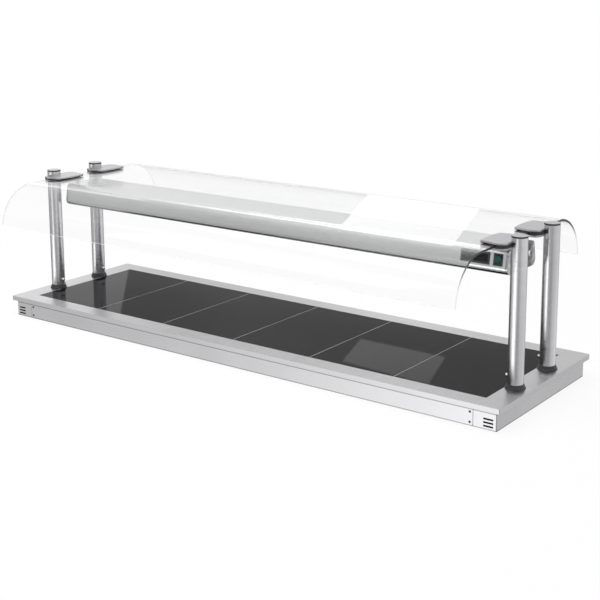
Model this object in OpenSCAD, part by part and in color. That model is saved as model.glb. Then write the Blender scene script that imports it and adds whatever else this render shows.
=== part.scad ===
// Drop-in heated glass shelf: a stainless base with a heated black glass top,
// four posts, a clear bent canopy and a lamp housing hung under it.
// Origin: on the underside of the base, midway between the posts. +Z up, +X along the shelf,
// -Y towards the side with the controls.

/* [Base] */
// Length of the top frame
frame_l = 2100; // [1500:1:2200]
// Depth of the top frame, front to back
frame_w = 630; // [600:1:700]
// Height of the base from its underside to the top of the frame
base_h = 76; // [74:1:110]
// Height of the folded lip around the frame
lip_h = 17; // [13:1:22]
// Thickness of the stainless sheet
sheet_t = 1.5; // [1:0.1:2]
// Radius of the frame's corners in plan
corner_r = 4; // [2.5:0.5:8]
// How far the frame reaches past the body at each end
overhang_x = 15; // [13:1:18]
// How far the frame reaches past the body at front and back
overhang_y = 12; // [11:1:16]
// How far the middle of the base lies behind the line midway between the posts
base_shift = 10; // [0:1:20]
// Length of the corner part of each end panel, along the front
corner_w = 78; // [70:1:100]
// Seam between the fascia and an end panel
seam_gap = 1; // [0.5:0.1:2]
// Width of the foam seal under the frame
foam_w = 8; // [5:0.5:8.5]

/* [Glass top] */
// Steel left at each end of the frame, beside the glass
end_margin = 81; // [81:1:100]
// Steel left at the front and the back, beside the glass
side_margin = 67; // [60:1:80]
// Thickness of a glass tile
tile_t = 6; // [4:0.5:6]
// Seam between two tiles
seam_w = 3; // [2:0.5:6]
// Seal around the glass
edge_gap = 2; // [1:0.5:4]
// Thickness of the silicone bed under the tiles
bed_t = 1.5; // [1:0.1:2.5]
// Width of the frame's ledge under the glass
ledge_w = 14; // [10:1:20]
// Width of a cross rail
rail_w = 30; // [20:1:40]
// Height of a cross rail
rail_h = 20; // [14:1:22]

/* [Posts] */
// Distance from the end of the frame to a post's axis
post_inset = 50; // [50:1:52]
// Distance between the front and the rear posts
post_span_y = 221; // [190:1:300]
// Outer diameter of a post
post_d = 50.8; // [48:0.1:52]
// Wall of a post
post_wall = 2; // [1.5:0.1:3]
// Length of a post's tube
post_l = 466.5; // [400:0.5:600]
// Diameter of the black foot collar
collar_d = 61; // [58:0.5:61.5]
// Height of the foot collar
collar_h = 16; // [10:1:24]
// Height of the lock screw above the frame
lock_z = 35; // [32:1:35]
// Diameter of the tie rod inside a post
rod_d = 10; // [8:0.5:12]
// Thickness of a post's cap
cap_t = 4; // [2:0.5:8]
// Thickness of the seal under a cap
cap_seal_t = 1.5; // [1:0.1:2.5]

/* [Clamp plates] */
// Thickness of a clamp plate
plate_t = 6; // [4:0.5:8]
// Width of a clamp plate, front to back
plate_w = 146; // [130:1:160]
// Width of a clamp plate at its inner edge
plate_tip_w = 124; // [120:1:130]
// How far a clamp plate reaches inwards from the post's axis
plate_reach = 104; // [98:1:112]
// Radius of the bowed inner edge
plate_bow_r = 330; // [250:5:600]
// Distance from the post's axis to a clamp plate's outer edge
plate_near = 12; // [8:1:16]
// Thickness of a gasket
gasket_t = 1.5; // [1:0.1:2]
// Neck of the tube left above the upper plate
neck_h = 10; // [9:0.5:20]
// Diameter of a clamp screw
clamp_d = 6; // [5:0.5:8]

/* [Canopy] */
// Thickness of the canopy glass
canopy_t = 8; // [6:0.5:10]
// Width of the canopy's flat top
canopy_flat = 530; // [440:1:600]
// Outer radius of the canopy's bends
canopy_r = 150; // [120:1:170]
// Angle that each side of the canopy is bent through
canopy_bend = 84; // [60:1:88]
// Straight glass below each bend
canopy_skirt = 8; // [2:1:20]
// Distance from the posts' axis to the end of the canopy
canopy_gap = 44; // [40:1:46]

/* [Lamp housing] */
// Distance from the posts' axis to the end of the lamp housing
lamp_gap = 46; // [42:1:52]
// Height of the lamp housing
lamp_h = 80; // [78:1:90]
// Width of the lamp housing at the bottom
lamp_bottom_w = 196; // [192:1:206]
// Width of the lamp housing at the top
lamp_top_w = 172; // [168:1:180]
// Space between the lamp housing and the lower clamp plates
lamp_drop = 17.5; // [10:0.5:24]
// Wall of the lamp housing
lamp_wall = 2; // [1.5:0.1:2.5]
// Radius of the housing's lower edges
lamp_low_r = 20; // [14:1:20]
// Radius of the housing's upper edges
lamp_high_r = 16; // [10:1:17]
// Thickness of an end cap
end_cap_t = 8; // [7:1:12]
// Width of the opening under the lamps
lamp_slot = 132; // [110:1:134]
// Space between the ends of two heat lamps
lamp_space = 52; // [44:1:80]
// Diameter of a heat lamp
heat_lamp_d = 14; // [10:1:16]

/* [Controls] */
// Height of the controls' centre above the housing's underside
control_z = 46; // [45:1:47]
// Distance from the posts' axis to the control window's centre
window_in = 157; // [150:1:160]
// Length of the control window
window_w = 100; // [80:1:104]
// Height of the control window and the switch
window_h = 38; // [36:1:40]
// Distance from the posts' axis to the switch's centre
switch_in = 79; // [76:1:80]
// Width of the switch's frame
switch_w = 31; // [30:1:34]
// Width of the rocker
rocker_w = 21.4; // [19:0.1:23]
// Radius that the rocker's ends turn on
rocker_r = 14.8; // [13:0.1:15.5]
// Tilt of the rocker to each side
rocker_tilt = 10; // [6:0.5:12]

/* [Fits] */
// Radial clearance of a plug, thread or rod in its hole
fit = 0.05; // [0.03:0.01:0.1]
// Clearance around the posts and between parts that only pass
clear = 0.3; // [0.2:0.05:0.5]

/* [Hidden] */
$fn = 48;

// Cuts run this far past the faces that they open
cut = 1;
// Arcs stand this much proud of the flats that they meet, so that each edge between them is clean
proud = 0.002;

// Body of the base
body_l = frame_l - 2 * overhang_x;
body_w = frame_w - 2 * overhang_y;
under_z = base_h - sheet_t;
fascia_half = body_l / 2 - corner_w;
tab_l = 22;
tab_clear_z = 3;
screw_low_z = 12;
screw_high_z = base_h - 32;
panel_screw_r = 2;
louvre_l = 32;
louvre_h = 5;
louvre_pitch = 11;
louvre_count = 3;
louvre_low_z = 11;
louvre_in = 28;
vent_l = 60;
vent_w = 4;
vent_pitch = 12;
vent_count = 10;

// Glass field
tile_count = 6;
glass_l = frame_l - 2 * end_margin;
glass_w = frame_w - 2 * side_margin;
open_l = glass_l + 2 * edge_gap;
open_w = glass_w + 2 * edge_gap;
tile_l = (glass_l - (tile_count - 1) * seam_w) / tile_count;
tile_pitch = tile_l + seam_w;
tile_z = base_h - tile_t;
ledge_z = tile_z - bed_t;
tray_z = ledge_z - rail_h;
rail_half = open_w / 2 - ledge_w;
mat_l = tile_pitch - rail_w - 8;
mat_w = open_w - 2 * ledge_w - 10;
mat_t = 0.8;
bead_drop = 0.4;

// Junction box and gland at the back
box_x = body_l / 2 - 200;
box_l = 120;
box_w = 70;
box_h = 34;
box_wall = 2.5;
gland_r = 10;
gland_z = 34;
gland_bore_r = 4.5;
gland_bore_l = 34;

// Posts
post_x = frame_l / 2 - post_inset;
post_y = post_span_y / 2;
post_r = post_d / 2;
bore_r = post_r - post_wall;
rod_r = rod_d / 2;
spigot_h = 60;
spigot_bolt_r = 6;
doubler_t = 5;
doubler_l = 2 * min(end_margin - edge_gap - post_inset, post_inset - overhang_x) - 2 * sheet_t - 3;
doubler_w = 80;
lock_r = 2.5;
lock_head_r = 6;
lock_head_h = 8;
tube_z = base_h + post_l;

// Clamp stack, from the top down
upper_plate_z = tube_z - neck_h - plate_t;
canopy_top = upper_plate_z - gasket_t;
canopy_low = canopy_top - canopy_t;
lower_plate_z = canopy_low - gasket_t - plate_t;
tongue_w = 34;
clamp_in = 58;
clamp_side = 20;
clamp_r = clamp_d / 2;
clamp_head_r = 5;
clamp_head_h = 4;
sleeve_r = 5.5;
rod_nut_h = 5;
rod_end_z = tube_z + cap_seal_t + 0.5;
cap_plug_h = neck_h - rod_nut_h - 0.5 + cap_seal_t;

// Lamp housing
lamp_z1 = lower_plate_z - lamp_drop;
lamp_z0 = lamp_z1 - lamp_h;
lamp_half_l = post_x - lamp_gap;
shell_half_l = lamp_half_l - end_cap_t;
lean = atan((lamp_bottom_w - lamp_top_w) / 2 / lamp_h);
port_r = 5;
port_bore_r = 2;
hang_in = 76;
hang_side = 50;
hang_r = 4;
standoff_r = 8;
control_l = 172;
hot_x0 = -shell_half_l + 2;
hot_x1 = shell_half_l - control_l;
reflector_t = 1.2;
reflector_low = lamp_slot + 2;
reflector_high = 82;
reflector_h = 56;
lip_edge = lamp_bottom_w / 2 - 0.5 - fillet_run([lamp_bottom_w / 2, 0], [0, 0],
  [lamp_top_w / 2, lamp_h], lamp_low_r);
heat_lamp_count = 3;
lamp_step = (hot_x1 - hot_x0) / heat_lamp_count;
heat_lamp_l = lamp_step - lamp_space;
holder_l = 14;
holder_w = 24;
heat_lamp_z = lamp_z0 + lamp_wall + 30;
lamp_seat = 10;
guard_wire_r = 0.9;
guard_pitch = 60;
guard_bar_w = 4;

// Controls on the leaning front face
window_x = post_x - window_in;
switch_x = post_x - switch_in;
bezel_t = 1.5;
bezel_rim = 6;
sleeve_depth = 6;
sleeve_in = 3.2;
case_depth = 40;
pivot_depth = 2;
pivot_r = 1.5;
pivot_l = 1.5;
switch_wall = 2.25;
switch_depth = 22;
rocker_back = 9;

// Unit vector
function unit(v) = v / norm(v);

// Half the angle between a corner's two sides
function half_angle(p, a, b) = acos(unit(a - p) * unit(b - p)) / 2;

// Distance from a corner to where its fillet starts
function fillet_run(p, a, b, r) = r / tan(half_angle(p, a, b));

// Centre of a corner's fillet
function fillet_centre(p, a, b, r) = p + unit(unit(a - p) + unit(b - p)) * r / sin(half_angle(p, a, b));

// Convex outline with a true arc at every corner
module rounded(points, radii, extra = proud) {
  n = len(points);
  polygon([for (i = [0:n - 1]) let (p = points[i], a = points[(i + n - 1) % n], b = points[(i + 1) % n])
    each [p + unit(a - p) * fillet_run(p, a, b, radii[i]), p + unit(b - p) * fillet_run(p, a, b, radii[i])]]);
  for (i = [0:n - 1])
    translate(fillet_centre(points[i], points[(i + n - 1) % n], points[(i + 1) % n], radii[i]))
      circle(r = radii[i] + extra);
}

// Rectangle with rounded corners, centred
module rect(l, w, r) {
  rounded([[-l / 2, -w / 2], [l / 2, -w / 2], [l / 2, w / 2], [-l / 2, w / 2]], [r, r, r, r], 0);
}

// Upright plate between two heights, with square corners or round ones
module slab(l, w, z0, z1, r = 0) {
  translate([0, 0, z0]) linear_extrude(z1 - z0)
    if (r > 0) rect(l, w, r);
    else square([l, w], center = true);
}

// Box given by its low and its high corner
module block(low, high) {
  translate(low) cube(high - low);
}

// Base parts lie a little behind the post line
module at_base() {
  translate([0, base_shift, 0]) children();
}

// Copies at the four posts: +X points inwards and +Y towards the middle
module at_posts() {
  for (side = [-1, 1], row = [-1, 1]) at_post(side, row) children();
}

module at_post(side, row) {
  translate([side * post_x, row * post_y, 0]) to_end(-side) to_side(-row) children();
}

// Mirror to the left end
module to_end(side) {
  if (side < 0) mirror([1, 0, 0]) children();
  else children();
}

// Mirror to the front
module to_side(row) {
  if (row < 0) mirror([0, 1, 0]) children();
  else children();
}

// Places under the tiles and under the seams between them
module at_tile(i) {
  at_base() translate([(i - (tile_count + 1) / 2) * tile_pitch, 0, 0]) children();
}

module at_seams() {
  for (i = [1:tile_count - 1]) at_base() translate([(i - tile_count / 2) * tile_pitch, 0, 0]) children();
}

// Screws of the long panels, with +Z out of the panel
module at_panel_screws() {
  for (side = [-1, 1], row = [-1, 1], z = [screw_low_z, screw_high_z])
    at_base() translate([side * (fascia_half - tab_l / 2), row * body_w / 2, z])
      rotate([-90 * row, 0, 0]) children();
}

// Stainless sheet folded to a flange with a lip outside and a step and ledge inside
module top_frame() {
  color([0.72, 0.72, 0.73]) difference() {
    at_base() {
      difference() {
        slab(frame_l, frame_w, base_h - lip_h, base_h, corner_r);
        slab(frame_l - 2 * sheet_t, frame_w - 2 * sheet_t, base_h - lip_h - cut, under_z,
          corner_r - sheet_t);
        slab(open_l, open_w, 0, base_h + cut);
      }
      difference() {
        slab(open_l + 2 * sheet_t, open_w + 2 * sheet_t, ledge_z - sheet_t, base_h);
        slab(open_l, open_w, ledge_z, base_h + cut);
        slab(open_l - 2 * ledge_w, open_w - 2 * ledge_w, 0, base_h);
      }
    }
    at_posts() cylinder(r = spigot_bolt_r + clear, h = base_h + cut);
  }
}

// End panel: the end wall and the two corners that it wraps, with tabs behind the fascia
module end_panel(side) {
  color([0.8, 0.8, 0.81]) difference() {
    at_base() {
      intersection() {
        difference() {
          slab(body_l, body_w, 0, under_z, corner_r);
          slab(body_l - 2 * sheet_t, body_w - 2 * sheet_t, -cut, base_h, corner_r - sheet_t);
        }
        to_end(side) block([fascia_half, -body_w, -cut], [body_l, body_w, base_h]);
      }
      for (row = [-1, 1]) to_end(side) to_side(row)
        block([fascia_half - tab_l, body_w / 2 - 2 * sheet_t, tab_clear_z],
          [fascia_half + tab_l / 2, body_w / 2 - sheet_t, under_z - tab_clear_z]);
    }
    at_panel_screws() cylinder(r = panel_screw_r + fit, h = 6 * sheet_t, center = true);
    for (i = [0:louvre_count - 1]) at_base()
      translate([side * (body_l / 2 - louvre_in), -body_w / 2, louvre_low_z + i * louvre_pitch])
        cube([louvre_l, 3 * sheet_t, louvre_h], center = true);
  }
}

module end_panel_left() { end_panel(-1); }

module end_panel_right() { end_panel(1); }

// Long panel between the two end panels, screwed to their tabs
module long_panel(row) {
  difference() {
    at_base() to_side(row)
      block([-fascia_half + seam_gap, body_w / 2 - sheet_t, 0],
        [fascia_half - seam_gap, body_w / 2, under_z]);
    at_panel_screws() cylinder(r = panel_screw_r + fit, h = 6 * sheet_t, center = true);
  }
}

module front_fascia() {
  color([0.86, 0.86, 0.87]) long_panel(-1);
}

// Rear panel with the hole for the cable gland
module rear_panel() {
  color([0.8, 0.8, 0.81]) difference() {
    long_panel(1);
    at_base() translate([box_x, body_w / 2, gland_z]) rotate([90, 0, 0])
      cylinder(r = gland_r + fit, h = 4 * sheet_t, center = true);
  }
}

// Floor of the base with two groups of vent slots
module base_plate() {
  color([0.75, 0.75, 0.76]) at_base() difference() {
    slab(body_l - 2 * sheet_t - 2 * fit, body_w - 2 * sheet_t - 2 * fit, 0, sheet_t,
      corner_r - sheet_t);
    for (side = [-1, 1], i = [0:vent_count - 1])
      translate([side * body_l / 4 + (i - (vent_count - 1) / 2) * vent_pitch, 0, 0])
        cube([vent_w, vent_l, 4 * sheet_t], center = true);
  }
}

// Small round-headed screws that hold the long panels
module panel_screws() {
  color([0.6, 0.6, 0.62]) at_panel_screws() {
    cylinder(r1 = 2 * panel_screw_r, r2 = 1.3 * panel_screw_r, h = 2);
    translate([0, 0, -8]) cylinder(r = panel_screw_r, h = 8.5);
  }
}

// Foam seal under the frame, which rests on the worktop with the lip
module counter_seal() {
  foam_l = frame_l - 2 * sheet_t - 2 * clear;
  foam_d = frame_w - 2 * sheet_t - 2 * clear;
  color([0.1, 0.1, 0.1]) at_base() difference() {
    slab(foam_l, foam_d, base_h - lip_h, under_z, corner_r - sheet_t);
    slab(foam_l - 2 * foam_w, foam_d - 2 * foam_w, 0, base_h, corner_r - sheet_t);
  }
}

// One tile of black glass
module glass_tile(i) {
  color([0.12, 0.12, 0.13]) at_tile(i) slab(tile_l, glass_w, tile_z, base_h);
}

// Light strips in the seams between the tiles
module seam_strips() {
  color([0.75, 0.75, 0.75]) at_seams() slab(seam_w, glass_w, tile_z, base_h - bead_drop / 2);
}

// Silicone bed under the edges of the tiles and bead around the glass, in one pour
module tile_bed() {
  color([0.15, 0.15, 0.15]) difference() {
    at_base() slab(open_l, open_w, ledge_z, base_h - bead_drop);
    at_base() slab(glass_l, glass_w, tile_z, base_h);
    for (i = [1:tile_count]) at_tile(i) slab(mat_l + 4, mat_w + 4, 0, base_h);
  }
}

// Folded channels under the seams, with a tab under the ledge at each end
module cross_rails() {
  rail_l = 2 * (rail_half - clear);
  color([0.7, 0.7, 0.71]) at_seams() {
    difference() {
      slab(rail_w, rail_l, tray_z, ledge_z);
      slab(rail_w - 2 * sheet_t, rail_l + 2 * cut, tray_z - cut, ledge_z - sheet_t);
    }
    for (row = [-1, 1]) to_side(row)
      block([-rail_w / 2 + 2 * sheet_t, rail_half - ledge_w, ledge_z - 2 * sheet_t],
        [rail_w / 2 - 2 * sheet_t, rail_half + ledge_w * 0.75, ledge_z - sheet_t]);
  }
}

// Flat heating mats stuck under the tiles
module heater_mats() {
  color([0.75, 0.35, 0.2]) for (i = [1:tile_count]) at_tile(i) slab(mat_l, mat_w, tile_z - mat_t, tile_z);
}

// Mineral wool between the rails
module insulation_pads() {
  color([0.85, 0.8, 0.6]) for (i = [1:tile_count]) at_tile(i) slab(mat_l, mat_w, tray_z, tile_z - mat_t);
}

// Sheet that carries the mineral wool
module insulation_tray() {
  color([0.75, 0.75, 0.76]) at_base()
    slab(open_l - 2 * ledge_w, open_w - 2 * ledge_w, tray_z - sheet_t, tray_z);
}

// Over-heat cut-outs under the tray
module limit_thermostats() {
  color([0.2, 0.2, 0.22]) for (i = [1:2:tile_count]) at_tile(i)
    translate([0, 0, tray_z - sheet_t - 10]) cylinder(r = 12, h = 10);
}

// Box where the supply lead is joined
module junction_box() {
  color([0.3, 0.3, 0.32]) at_base() translate([box_x, body_w / 2 - 75, 0]) difference() {
    slab(box_l, box_w, sheet_t, sheet_t + box_h, 4);
    slab(box_l - 2 * box_wall, box_w - 2 * box_wall, sheet_t + box_wall,
      sheet_t + box_h - box_wall, 2);
  }
}

// Gland for the supply lead, with its nut inside the rear panel
module cable_gland() {
  color([0.12, 0.12, 0.12]) at_base() translate([box_x, body_w / 2, gland_z]) rotate([-90, 0, 0])
    difference() {
      union() {
        translate([0, 0, -12]) cylinder(r = gland_r, h = 12.5);
        cylinder(r = 13.5, h = 6, $fn = 6);
        translate([0, 0, 6]) cylinder(r = 11.5, h = 8);
        translate([0, 0, 14]) cylinder(r1 = 11.5, r2 = 8, h = 8);
        translate([0, 0, -sheet_t - 5]) cylinder(r = 13.5, h = 5, $fn = 6);
      }
      translate([0, 0, -12 - cut]) cylinder(r = gland_bore_r, h = gland_bore_l + 2 * cut);
    }
}

// Thick plates that spread the posts' load under the frame
module post_doublers() {
  color([0.65, 0.65, 0.66]) at_posts() difference() {
    slab(doubler_l, doubler_w, under_z - doubler_t, under_z);
    cylinder(r = spigot_bolt_r + clear, h = base_h);
  }
}

// Bolts from below that hold the spigots
module spigot_bolts() {
  color([0.6, 0.6, 0.62]) at_posts() translate([0, 0, under_z - doubler_t]) {
    translate([0, 0, -8]) cylinder(r = 11, h = 8, $fn = 6);
    translate([0, 0, -0.5]) cylinder(r = spigot_bolt_r - fit, h = doubler_t + sheet_t + 30.5 - clear);
  }
}

// Turned plugs that stand on the frame inside the posts
module post_spigots() {
  color([0.62, 0.62, 0.64]) at_posts() translate([0, 0, base_h]) difference() {
    cylinder(r = bore_r - fit, h = spigot_h);
    translate([0, 0, -cut]) cylinder(r = spigot_bolt_r, h = 30 + cut);
    translate([0, 0, spigot_h - 22]) cylinder(r = rod_r, h = 22 + cut);
    translate([12, 0, lock_z]) rotate([0, 90, 0]) cylinder(r = lock_r, h = bore_r);
  }
}

// Polished tube, slotted near the top for the clamp plates' tongues
module post(side, row) {
  color([0.78, 0.78, 0.8]) at_post(side, row) difference() {
    translate([0, 0, base_h]) cylinder(r = post_r, h = post_l);
    translate([0, 0, base_h - cut]) cylinder(r = bore_r, h = post_l + 2 * cut);
    for (z = [upper_plate_z, lower_plate_z])
      block([0, -tongue_w / 2 - clear, z - fit], [post_r + cut, tongue_w / 2 + clear, z + plate_t + fit]);
    translate([bore_r / 2, 0, base_h + lock_z]) rotate([0, 90, 0]) cylinder(r = lock_r, h = bore_r);
  }
}

module post_front_left() { post(-1, -1); }

module post_rear_left() { post(-1, 1); }

module post_front_right() { post(1, -1); }

module post_rear_right() { post(1, 1); }

// Black flared foot collars
module post_collars() {
  color([0.1, 0.1, 0.11]) at_posts() translate([0, 0, base_h]) rotate_extrude()
    polygon([[post_r + fit, 0], [collar_d / 2, 0], [collar_d / 2, collar_h * 0.45],
      [collar_d / 2 - 3, collar_h], [post_r + fit, collar_h]]);
}

// Chrome screws that lock the posts on their spigots
module lock_screws() {
  color([0.85, 0.85, 0.87]) at_posts() translate([0, 0, base_h + lock_z]) rotate([0, 90, 0]) {
    translate([0, 0, 12 + clear]) cylinder(r = lock_r - fit, h = post_r - 11.5 - clear);
    translate([0, 0, post_r]) cylinder(r = lock_head_r, h = lock_head_h * 0.6);
    translate([0, 0, post_r + lock_head_h * 0.6])
      cylinder(r1 = lock_head_r, r2 = lock_head_r * 0.6, h = lock_head_h * 0.4);
  }
}

// Rods that pull the clamp plates down on their slots
module tie_rods() {
  rod_z = base_h + spigot_h - 22 + clear;
  color([0.65, 0.65, 0.66]) at_posts() translate([0, 0, rod_z])
    cylinder(r = rod_r - fit, h = rod_end_z - rod_z);
}

// Sleeves that keep the two tongues apart
module clamp_spacers() {
  color([0.65, 0.65, 0.66]) at_posts() difference() {
    translate([0, 0, lower_plate_z + plate_t])
      cylinder(r = rod_r + 7, h = upper_plate_z - lower_plate_z - plate_t);
    cylinder(r = rod_r + fit, h = tube_z);
  }
}

// Thin nuts on the tie rods
module rod_nuts() {
  color([0.6, 0.6, 0.62]) at_posts() difference() {
    translate([0, 0, upper_plate_z + plate_t]) cylinder(r = rod_r * 1.96, h = rod_nut_h, $fn = 6);
    cylinder(r = rod_r, h = tube_z + cut);
  }
}

// Black rings under the caps
module cap_seals() {
  color([0.08, 0.08, 0.08]) at_posts() translate([0, 0, tube_z]) difference() {
    cylinder(r = post_r, h = cap_seal_t);
    translate([0, 0, -cut]) cylinder(r = bore_r, h = cap_seal_t + 2 * cut);
  }
}

// Flat caps screwed on the ends of the tie rods
module post_caps() {
  color([0.75, 0.75, 0.77]) at_posts() translate([0, 0, tube_z + cap_seal_t]) difference() {
    union() {
      cylinder(r = post_r, h = cap_t);
      translate([0, 0, -cap_plug_h]) cylinder(r = bore_r - fit, h = cap_plug_h + cut);
    }
    translate([0, 0, -cap_plug_h - cut]) cylinder(r = rod_r, h = cap_plug_h + 2 * cut);
  }
}

// Outline of a clamp plate without its tongue, drawn in by an inset
module shield(inset = 0) {
  near = plate_near + inset;
  far = plate_reach - inset;
  wide = plate_w / 2 - inset;
  tip = plate_tip_w / 2 - inset;
  intersection() {
    rounded([[near, -wide + 10], [near + 24, -wide], [far + 2, -tip], [far + 2, tip],
      [near + 24, wide], [near, wide - 10]], [20, 12, 13, 13, 12, 20]);
    translate([far - plate_bow_r, 0]) circle(r = plate_bow_r, $fn = 240);
  }
}

// Shield outline notched around the tube
module notched_shield(inset = 0) {
  difference() {
    shield(inset);
    circle(r = post_r + clear);
  }
}

// Clamp plate with the tongue that enters the post
module clamp_plate(z) {
  translate([0, 0, z]) linear_extrude(plate_t) {
    notched_shield();
    intersection() {
      square([2 * (post_r + 4), tongue_w], center = true);
      union() {
        circle(r = tongue_w / 2);
        translate([0, -tongue_w / 2]) square([post_r + 4, tongue_w]);
      }
    }
  }
}

module upper_plates() {
  color([0.77, 0.76, 0.78]) at_posts() difference() {
    clamp_plate(upper_plate_z);
    cylinder(r = rod_r + fit, h = tube_z);
    for (v = [-1, 1]) translate([clamp_in, v * clamp_side, upper_plate_z - cut])
      cylinder(r = clamp_r, h = plate_t - 1.5 + cut);
  }
}

module lower_plates() {
  color([0.7, 0.7, 0.72]) at_posts() difference() {
    clamp_plate(lower_plate_z);
    cylinder(r = rod_r + fit, h = tube_z);
    for (v = [-1, 1]) translate([clamp_in, v * clamp_side, 0]) cylinder(r = clamp_r + clear, h = tube_z);
    translate([hang_in, hang_side, 0]) cylinder(r = hang_r, h = tube_z);
  }
}

// Rubber between the canopy and the upper plates
module upper_gaskets() {
  color([0.06, 0.06, 0.06]) at_posts() difference() {
    translate([0, 0, canopy_top]) linear_extrude(gasket_t) notched_shield(1);
    for (v = [-1, 1]) translate([clamp_in, v * clamp_side, 0]) cylinder(r = clamp_r + clear, h = tube_z);
  }
}

// Rubber under the canopy, with the block that the glass butts on and a sleeve for each screw
module lower_gaskets() {
  color([0.06, 0.06, 0.06]) at_posts() difference() {
    union() {
      translate([0, 0, canopy_low - gasket_t]) linear_extrude(gasket_t) notched_shield(1);
      translate([0, 0, canopy_low - gasket_t]) linear_extrude(gasket_t + canopy_t) intersection() {
        notched_shield(1);
        translate([-plate_reach + canopy_gap - clear, -plate_w]) square([plate_reach, 2 * plate_w]);
      }
      for (v = [-1, 1]) translate([clamp_in, v * clamp_side, canopy_low - gasket_t])
        cylinder(r = sleeve_r, h = gasket_t + canopy_t);
    }
    for (v = [-1, 1]) translate([clamp_in, v * clamp_side, 0]) cylinder(r = clamp_r + clear, h = tube_z);
  }
}

// Screws from below, through the glass into the upper plates
module clamp_screws() {
  color([0.6, 0.6, 0.62]) at_posts() for (v = [-1, 1])
    translate([clamp_in, v * clamp_side, lower_plate_z]) {
      translate([0, 0, -clamp_head_h]) cylinder(r = clamp_head_r, h = clamp_head_h);
      translate([0, 0, -0.5]) cylinder(r = clamp_r - fit, h = upper_plate_z - lower_plate_z + plate_t - 1.5);
    }
}

// Filled section under the canopy's outer or inner face, whose bends have a given radius
module canopy_fill(r) {
  deep = canopy_r / 2 + canopy_r - r;
  translate([-canopy_flat / 2, canopy_top - canopy_r - deep]) square([canopy_flat, deep + r]);
  for (side = [0, 1]) mirror([side, 0]) translate([canopy_flat / 2, canopy_top - canopy_r]) {
    intersection() {
      circle(r = r + proud, $fn = 160);
      translate([-cut, -deep]) square([r + 2 * cut, deep + r + cut]);
    }
    rotate(-canopy_bend) square([canopy_skirt + canopy_r - r, r]);
  }
}

// Canopy section: flat top, a bend at each side and a short straight skirt
module canopy_section() {
  difference() {
    canopy_fill(canopy_r);
    canopy_fill(canopy_r - canopy_t);
    for (side = [0, 1]) mirror([side, 0]) translate([canopy_flat / 2, canopy_top - canopy_r])
      rotate(-canopy_bend) translate([canopy_skirt, -canopy_r]) square(3 * canopy_r);
  }
}

// Clear bent canopy with the screw holes near its corners
module canopy_glass() {
  color([0.85, 0.9, 0.92, 0.35]) difference() {
    along(-post_x + canopy_gap, post_x - canopy_gap) canopy_section();
    at_posts() for (v = [-1, 1]) translate([clamp_in, v * clamp_side, canopy_low - cut])
      cylinder(r = sleeve_r + fit, h = canopy_t + 2 * cut);
  }
}

// Half width of the housing's side line at a height above its underside
function lamp_half(h) = (lamp_bottom_w + (lamp_top_w - lamp_bottom_w) * h / lamp_h) / 2;

// Section of the lamp housing, drawn in by an inset, standing on z = lamp_z0
module lamp_outline(inset = 0) {
  side = inset / cos(lean);
  low = lamp_half(inset) - side;
  high = lamp_half(lamp_h - inset) - side;
  translate([0, lamp_z0])
    rounded([[-low, inset], [low, inset], [high, lamp_h - inset], [-high, lamp_h - inset]],
      [lamp_low_r - inset, lamp_low_r - inset, lamp_high_r - inset, lamp_high_r - inset]);
}

// Extrude a front view along the shelf from x0 to x1
module along(x0, x1) {
  translate([x0, 0, 0]) rotate([90, 0, 90]) linear_extrude(x1 - x0) children();
}

// Centres of the housing's four screw ports, in its section
port_centres = [for (side = [-1, 1])
  each [[side * (lamp_half(21) - lamp_wall / cos(lean) - port_r + 1.5), lamp_z0 + 21],
    [side * lamp_top_w * 0.2, lamp_z1 - lamp_wall - port_r + 1.5]]];

// Frame on the housing's front face: +Y into the housing, +Z up along the face
module on_front(x) {
  translate([x, -lamp_half(control_z), lamp_z0 + control_z]) rotate([-lean, 0, 0]) children();
}

// Extruded lamp housing, open below, with the cut-outs for the controls
module lamp_housing() {
  color([0.75, 0.75, 0.77]) difference() {
    along(-shell_half_l, shell_half_l) difference() {
      union() {
        difference() {
          lamp_outline();
          lamp_outline(lamp_wall);
        }
        for (c = port_centres) translate(c) circle(r = port_r);
      }
      translate([-lamp_slot / 2, lamp_z0 - cut]) square([lamp_slot, lamp_wall + 2 * cut]);
      for (c = port_centres) translate(c) circle(r = port_bore_r);
    }
    on_front(window_x) cube([window_w - 2 * sleeve_in + 2 * fit, 20, window_h - 2 * sleeve_in + 2 * fit],
      center = true);
    on_front(switch_x) cube([rocker_w + 2 * clear + 2 * switch_wall + 2 * fit, 20,
      2 * (rocker_r + clear) + 3.2 + 2 * fit], center = true);
    at_posts() translate([hang_in, hang_side, 0]) cylinder(r = hang_r + fit, h = lamp_z1 + cut);
  }
}

// End cap of the lamp housing, with countersunk screw holes
module end_cap(side) {
  color([0.72, 0.72, 0.74]) to_end(side) difference() {
    along(shell_half_l, lamp_half_l) lamp_outline();
    along(shell_half_l - cut, lamp_half_l + cut) for (c = port_centres) translate(c) circle(r = port_bore_r + fit);
    along(lamp_half_l - 2.5, lamp_half_l + cut) for (c = port_centres) translate(c) circle(r = 3.8);
  }
}

module end_cap_left() { end_cap(-1); }

module end_cap_right() { end_cap(1); }

// Screws that hold the end caps in the housing's ports
module end_cap_screws() {
  color([0.6, 0.6, 0.62]) for (side = [-1, 1]) to_end(side) {
    along(lamp_half_l - 2.5, lamp_half_l - 0.3) for (c = port_centres) translate(c) circle(r = 3.6);
    along(lamp_half_l - 26, lamp_half_l - 2) for (c = port_centres) translate(c) circle(r = port_bore_r - fit);
  }
}

// Polished boss on the right end cap, behind the middle
boss_r = 11;
boss_side = 4 * boss_r;
boss_up = lamp_h / 2 + 6;

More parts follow.
